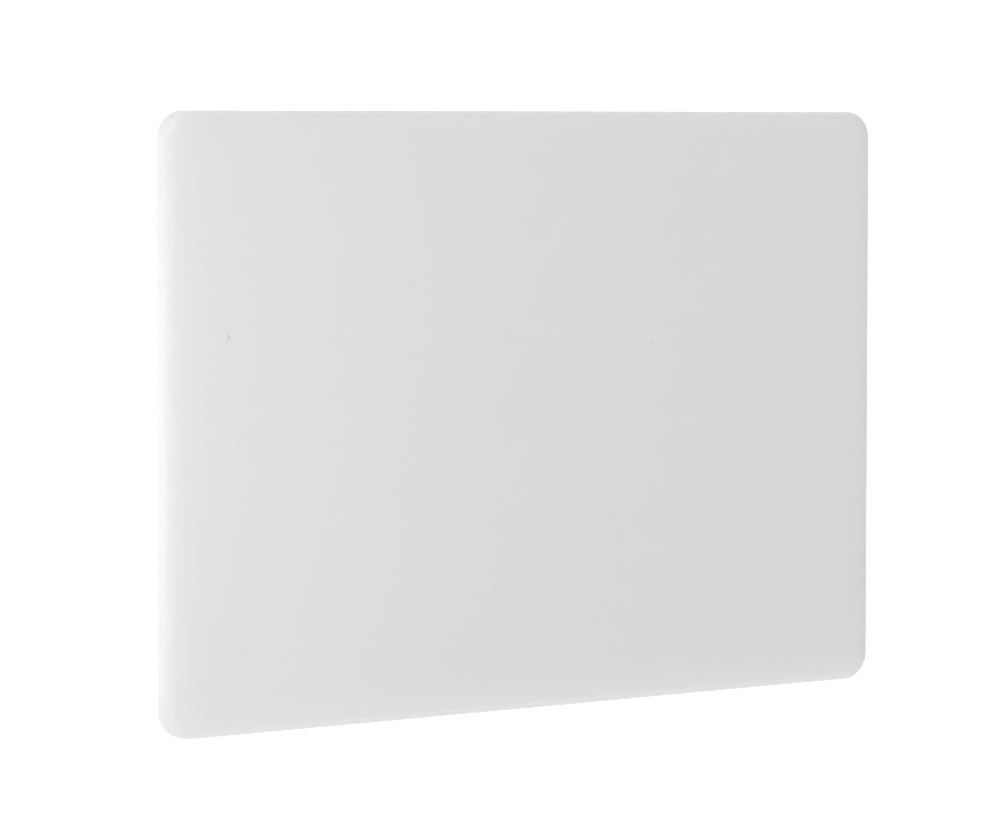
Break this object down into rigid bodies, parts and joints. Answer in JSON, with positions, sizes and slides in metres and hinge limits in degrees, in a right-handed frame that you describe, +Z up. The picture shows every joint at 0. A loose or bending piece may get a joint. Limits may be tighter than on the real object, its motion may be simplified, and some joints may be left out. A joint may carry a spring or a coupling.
{
  "type": "cutting board",
  "caption": "Plain rectangular cutting board in white polyethylene, with rounded corners and rounded edges all round, stood on its long edge.",
  "frame": {"origin": "middle of the lower long edge, at the height it stands on", "axes": "+X along the long side, to the right when the working face is seen from the front; +Y through the thickness, from the working face to the back face; +Z up the short side"},
  "size_m": [0.45, 0.012, 0.3],
  "materials": {
    "polyethylene": "white high-density polyethylene, slightly translucent, with a fine moulded grain and a soft satin shine"
  },
  "bodies": {
    "root": {"board": "polyethylene"}
  },
  "joints": []
}
